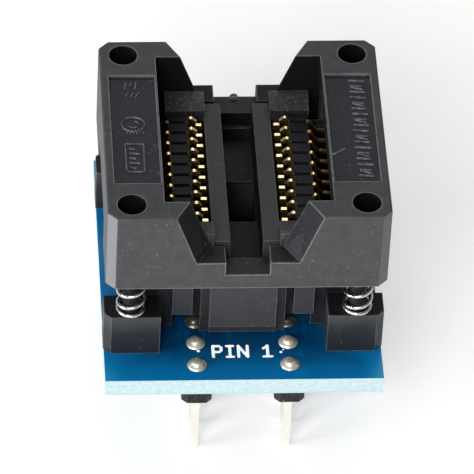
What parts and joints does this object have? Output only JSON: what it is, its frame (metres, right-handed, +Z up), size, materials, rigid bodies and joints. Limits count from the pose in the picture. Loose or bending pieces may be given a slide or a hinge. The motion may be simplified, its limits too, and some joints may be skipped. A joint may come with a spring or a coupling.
{
  "type": "chip programming socket adapter",
  "caption": "Open-top spring-loaded chip socket on a small circuit board with two rows of header pins; pressing the cover down opens its contacts.",
  "frame": {"origin": "centre of the footprint, at the tips of the header pins", "axes": "+X across the chip, +Y along the chip and the header rows, +Z up out of the open top"},
  "size_m": [0.023, 0.0264, 0.0253],
  "materials": {
    "board": "blue solder mask over fibreglass, pale cut edges",
    "socket_plastic": "black glass-filled moulding, faint grain",
    "cover_plastic": "black glass-filled moulding, fine spark texture, paler worn edges",
    "strip_plastic": "black moulding, satin",
    "header_pin": "thin gold plating",
    "solder": "bright solder with a trace of flux",
    "spring_wire": "drawn spring wire",
    "contact_gold": "gold-plated spring copper"
  },
  "bodies": {
    "base": {"circuit_board": "board", "socket_base": "socket_plastic", "header_strip_left": "strip_plastic", "header_strip_right": "strip_plastic", "header_pins_left": "header_pin", "header_pins_right": "header_pin", "pin_solder_left": "solder", "pin_solder_right": "solder", "tail_solder_left": "solder", "tail_solder_right": "solder", "spring_front_left": "spring_wire", "spring_front_right": "spring_wire", "spring_rear_left": "spring_wire", "spring_rear_right": "spring_wire", "contact_left_01": "contact_gold", "contact_left_02": "contact_gold", "contact_left_03": "contact_gold", "contact_left_04": "contact_gold", "contact_left_05": "contact_gold", "contact_left_06": "contact_gold", "contact_left_07": "contact_gold", "contact_left_08": "contact_gold", "contact_left_09": "contact_gold", "contact_left_10": "contact_gold", "contact_right_01": "contact_gold", "contact_right_02": "contact_gold", "contact_right_03": "contact_gold", "contact_right_04": "contact_gold", "contact_right_05": "contact_gold", "contact_right_06": "contact_gold", "contact_right_07": "contact_gold", "contact_right_08": "contact_gold", "contact_right_09": "contact_gold", "contact_right_10": "contact_gold"},
    "cover": {"cover": "cover_plastic"},
    "left_arms": {"contact_arm_left_01": "contact_gold", "contact_arm_left_02": "contact_gold", "contact_arm_left_03": "contact_gold", "contact_arm_left_04": "contact_gold", "contact_arm_left_05": "contact_gold", "contact_arm_left_06": "contact_gold", "contact_arm_left_07": "contact_gold", "contact_arm_left_08": "contact_gold", "contact_arm_left_09": "contact_gold", "contact_arm_left_10": "contact_gold"},
    "right_arms": {"contact_arm_right_01": "contact_gold", "contact_arm_right_02": "contact_gold", "contact_arm_right_03": "contact_gold", "contact_arm_right_04": "contact_gold", "contact_arm_right_05": "contact_gold", "contact_arm_right_06": "contact_gold", "contact_arm_right_07": "contact_gold", "contact_arm_right_08": "contact_gold", "contact_arm_right_09": "contact_gold", "contact_arm_right_10": "contact_gold"}
  },
  "joints": [
    {"name": "cover_slide", "type": "slide", "parent": "base", "child": "cover", "axis": [0, 0, -1], "range_m": [0, 0.0026], "stiffness_N_per_m": 4000, "springref_m": -0.0008, "deforming": ["spring_front_left", "spring_front_right", "spring_rear_left", "spring_rear_right"]},
    {"name": "left_arms_bend", "type": "hinge", "parent": "base", "child": "left_arms", "pos_m": [-0.0046, 0, 0.0141], "axis": [0, -1, 0], "range_deg": [0, 11.5]},
    {"name": "right_arms_bend", "type": "hinge", "parent": "base", "child": "right_arms", "pos_m": [0.0046, 0, 0.0141], "axis": [0, 1, 0], "range_deg": [0, 11.5]}
  ],
  "couplings": [
    {"joint": "left_arms_bend", "follows": "cover_slide", "rad_per_m": 77},
    {"joint": "right_arms_bend", "follows": "cover_slide", "rad_per_m": 77}
  ]
}
